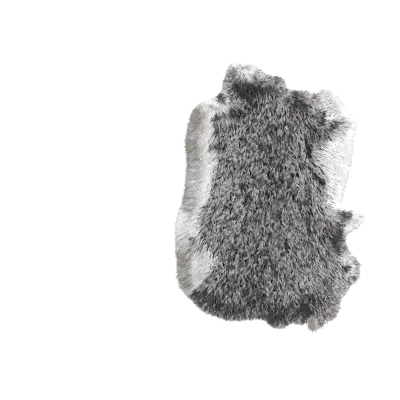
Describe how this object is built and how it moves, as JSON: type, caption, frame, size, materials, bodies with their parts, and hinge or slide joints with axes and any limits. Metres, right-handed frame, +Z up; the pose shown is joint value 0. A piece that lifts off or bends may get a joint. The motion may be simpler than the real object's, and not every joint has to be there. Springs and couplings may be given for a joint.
{
  "type": "rabbit skin pelt",
  "caption": "Tanned rabbit skin pelt lying flat, fur side up, with a grey agouti back, white flanks and a ragged fur rim.",
  "frame": {"origin": "on the surface that the pelt lies on, under the middle of its bounding box", "axes": "+X towards the right flank, +Y towards the neck, +Z up out of the fur"},
  "size_m": [0.2724, 0.3746, 0.0216],
  "materials": {
    "fur": "soft grey agouti fur over white flanks, matt with a faint sheen along the hair",
    "skin": "pale tanned suede, matt"
  },
  "bodies": {
    "root": {"pelt": "fur"}
  },
  "joints": []
}
